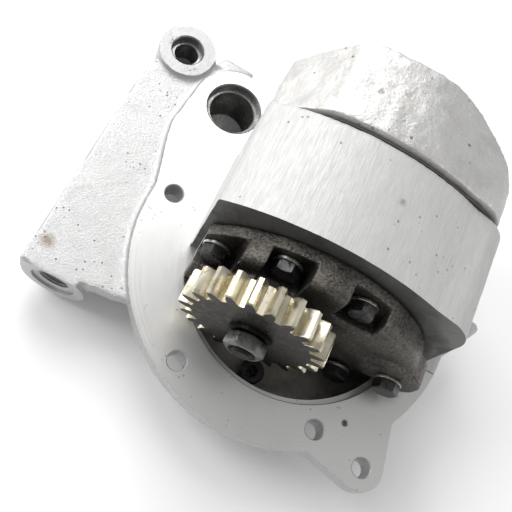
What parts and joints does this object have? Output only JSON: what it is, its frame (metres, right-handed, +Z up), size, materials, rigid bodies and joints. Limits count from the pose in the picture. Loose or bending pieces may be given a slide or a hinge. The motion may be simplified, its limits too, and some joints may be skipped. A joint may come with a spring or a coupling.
{
  "type": "axial piston pump",
  "caption": "Gear-driven axial piston pump: round aluminium mounting flange with a side manifold arm, arched barrel, iron front cover, spur drive gear and a lobed rear cover.",
  "frame": {"origin": "centre of the round foot of the dished back, on the floor under the centre of the mounting flange", "axes": "+Z up, out of the machined flange face; the shaft runs along Y with the drive gear at the -Y end; the manifold arm is on the -X side"},
  "size_m": [0.277, 0.231, 0.1445],
  "materials": {
    "cast_aluminium": "bare casting with a lathe-turned flange face and a brushed barrel",
    "rough_aluminium": "rough bare casting with dents and pits",
    "cast_iron": "dark oiled sand casting",
    "gear_steel": "hobbed steel with a film of oil",
    "ground_steel": "ground and oiled",
    "spring_steel": "oil-tempered wire",
    "bolt_steel": "black oxide",
    "bright_washer": "bright zinc",
    "bronze": "bearing bronze",
    "rubber": "black nitrile",
    "gasket_paper": "gasket sheet"
  },
  "bodies": {
    "housing": {"pump_body": "cast_aluminium", "rear_cover": "rough_aluminium", "front_cover": "cast_iron", "thrust_race": "ground_steel", "cylinder_block": "ground_steel", "valve_plate": "ground_steel", "piston_spring_1": "spring_steel", "piston_spring_2": "spring_steel", "piston_spring_3": "spring_steel", "piston_spring_4": "spring_steel", "piston_spring_5": "spring_steel", "piston_spring_6": "spring_steel", "piston_spring_7": "spring_steel", "floor_screw": "bolt_steel", "cover_bolt_a": "bolt_steel", "cover_bolt_b": "bolt_steel", "cover_bolt_c": "bolt_steel", "cover_bolt_d": "bolt_steel", "cover_bolt_e": "bolt_steel", "rear_cover_bolt_1": "bolt_steel", "rear_cover_bolt_2": "bolt_steel", "rear_cover_bolt_3": "bolt_steel", "rear_cover_bolt_4": "bolt_steel", "cover_washer_a": "bright_washer", "cover_washer_b": "bright_washer", "cover_washer_c": "bright_washer", "cover_washer_d": "bright_washer", "cover_washer_e": "bright_washer", "front_shaft_bush": "bronze", "rear_shaft_bush": "bronze", "shaft_seal": "rubber", "rear_gasket": "gasket_paper"},
    "rotor": {"drive_shaft": "ground_steel", "drive_gear": "gear_steel", "gear_key": "ground_steel", "gear_lock_washer": "bright_washer", "gear_nut": "bolt_steel", "wobble_plate": "ground_steel"},
    "piston_1": {"piston_1": "ground_steel"},
    "piston_2": {"piston_2": "ground_steel"},
    "piston_3": {"piston_3": "ground_steel"},
    "piston_4": {"piston_4": "ground_steel"},
    "piston_5": {"piston_5": "ground_steel"},
    "piston_6": {"piston_6": "ground_steel"},
    "piston_7": {"piston_7": "ground_steel"}
  },
  "joints": [
    {"name": "shaft_spin", "type": "hinge", "parent": "housing", "child": "rotor", "pos_m": [-0.0177, -0.0595, 0.085], "axis": [0, 1, 0], "continuous": true},
    {"name": "piston_1_stroke", "type": "slide", "parent": "housing", "child": "piston_1", "axis": [0, 1, 0], "range_m": [0, 0.00998], "stiffness_N_per_m": 900, "springref_m": -0.004, "deforming": ["piston_spring_1"]},
    {"name": "piston_2_stroke", "type": "slide", "parent": "housing", "child": "piston_2", "axis": [0, 1, 0], "range_m": [0, 0.00998], "stiffness_N_per_m": 900, "springref_m": -0.004, "deforming": ["piston_spring_2"]},
    {"name": "piston_3_stroke", "type": "slide", "parent": "housing", "child": "piston_3", "axis": [0, 1, 0], "range_m": [0, 0.00998], "stiffness_N_per_m": 900, "springref_m": -0.004, "deforming": ["piston_spring_3"]},
    {"name": "piston_4_stroke", "type": "slide", "parent": "housing", "child": "piston_4", "axis": [0, 1, 0], "range_m": [0, 0.00998], "stiffness_N_per_m": 900, "springref_m": -0.004, "deforming": ["piston_spring_4"]},
    {"name": "piston_5_stroke", "type": "slide", "parent": "housing", "child": "piston_5", "axis": [0, 1, 0], "range_m": [0, 0.00998], "stiffness_N_per_m": 900, "springref_m": -0.004, "deforming": ["piston_spring_5"]},
    {"name": "piston_6_stroke", "type": "slide", "parent": "housing", "child": "piston_6", "axis": [0, 1, 0], "range_m": [0, 0.00998], "stiffness_N_per_m": 900, "springref_m": -0.004, "deforming": ["piston_spring_6"]},
    {"name": "piston_7_stroke", "type": "slide", "parent": "housing", "child": "piston_7", "axis": [0, 1, 0], "range_m": [0, 0.00998], "stiffness_N_per_m": 900, "springref_m": -0.004, "deforming": ["piston_spring_7"]}
  ]
}
